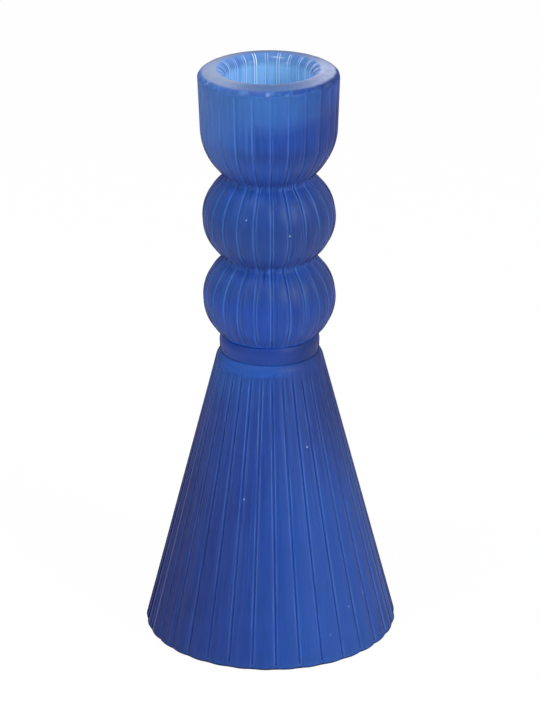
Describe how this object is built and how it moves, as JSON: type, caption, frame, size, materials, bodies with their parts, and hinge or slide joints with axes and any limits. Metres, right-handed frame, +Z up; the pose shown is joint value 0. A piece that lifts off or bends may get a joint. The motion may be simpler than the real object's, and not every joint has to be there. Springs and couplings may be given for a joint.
{
  "type": "candlestick",
  "caption": "Reeded glass candlestick: hollow conical foot, plain collar, and a knopped stem that ends in a cup for a dinner candle.",
  "frame": {"origin": "centre of the circle that the foot stands on", "axes": "+Z up along the axis of the candle; -Y is the side that faces the viewer"},
  "size_m": [0.0693, 0.0694, 0.1606],
  "materials": {
    "foot_glass": "frosted cobalt blue glass, satin outside and smooth inside",
    "collar_glass": "frosted cobalt blue glass, plain and slightly darker where it is thick",
    "stem_glass": "frosted cobalt blue glass, lighter at the cup, with a glossy socket"
  },
  "bodies": {
    "root": {"cone_foot": "foot_glass", "joining_collar": "collar_glass", "knopped_stem": "stem_glass"}
  },
  "joints": []
}
